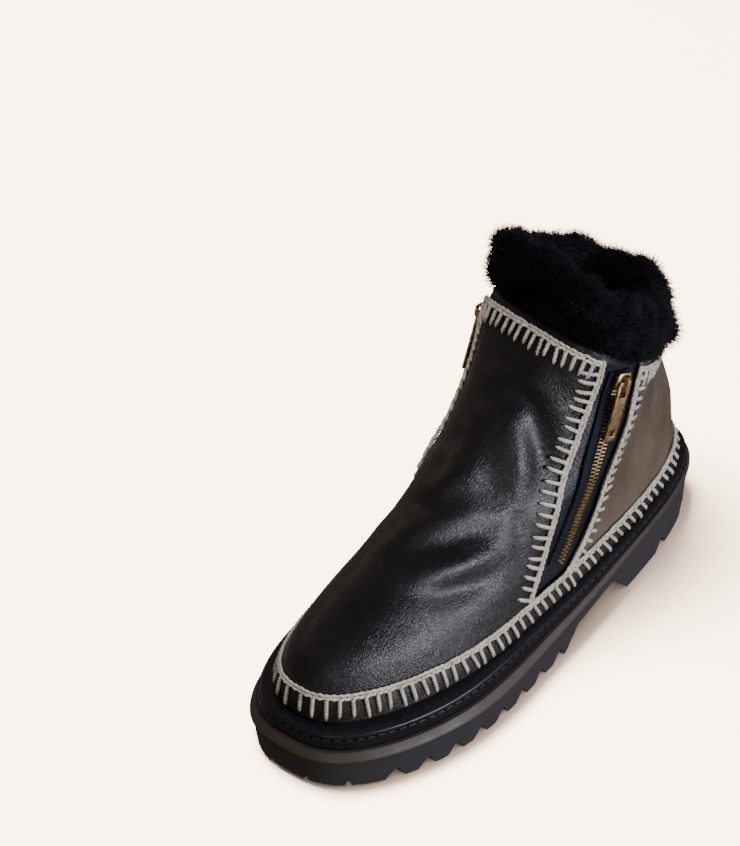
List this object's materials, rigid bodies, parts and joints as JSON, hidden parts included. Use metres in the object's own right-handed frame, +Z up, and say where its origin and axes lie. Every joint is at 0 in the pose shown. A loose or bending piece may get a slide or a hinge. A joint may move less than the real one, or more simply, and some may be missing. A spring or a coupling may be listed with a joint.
{
  "type": "ankle boot",
  "caption": "Left ankle boot with a lugged rubber sole, zips on both sides, a deep fur collar and contrasting crochet edging round the rand and panels.",
  "frame": {"origin": "on the floor under the middle of the boot's box", "axes": "+X from heel to toe, +Y towards the outer side of the foot, +Z up"},
  "size_m": [0.286, 0.1042, 0.1932],
  "materials": {
    "tread_rubber": "matte",
    "gloss_rubber": "gloss",
    "rand_leather": "satin",
    "footbed": "matte",
    "soft_leather": "gloss",
    "counter_leather": "satin",
    "yarn": "matte",
    "zip_tape": "matte",
    "brass": "antique",
    "fur": "pile"
  },
  "bodies": {
    "boot": {"outsole": "tread_rubber", "midsole": "gloss_rubber", "welt": "gloss_rubber", "insole": "footbed", "upper": "soft_leather", "rand": "rand_leather", "vamp": "soft_leather", "counter": "counter_leather", "fur_collar": "fur", "edging_rand": "yarn", "edging_vamp": "yarn", "edging_counter_outer": "yarn", "edging_counter_inner": "yarn", "zip_tape_outer": "zip_tape", "zip_tape_inner": "zip_tape", "zip_chain_outer": "brass", "zip_chain_inner": "brass", "slider_outer": "brass", "slider_inner": "brass"},
    "pull_outer": {"pull_tab_outer": "brass"},
    "pull_inner": {"pull_tab_inner": "brass"}
  },
  "joints": [
    {"name": "pull_outer_hinge", "type": "hinge", "parent": "boot", "child": "pull_outer", "pos_m": [-0.05249, 0.04341, 0.13687], "axis": [0.905, -0.184, 0.3836], "range_deg": [0, 147]},
    {"name": "pull_inner_hinge", "type": "hinge", "parent": "boot", "child": "pull_inner", "pos_m": [-0.05219, -0.04216, 0.1372], "axis": [-0.894, -0.254, -0.3692], "range_deg": [0, 147]}
  ]
}
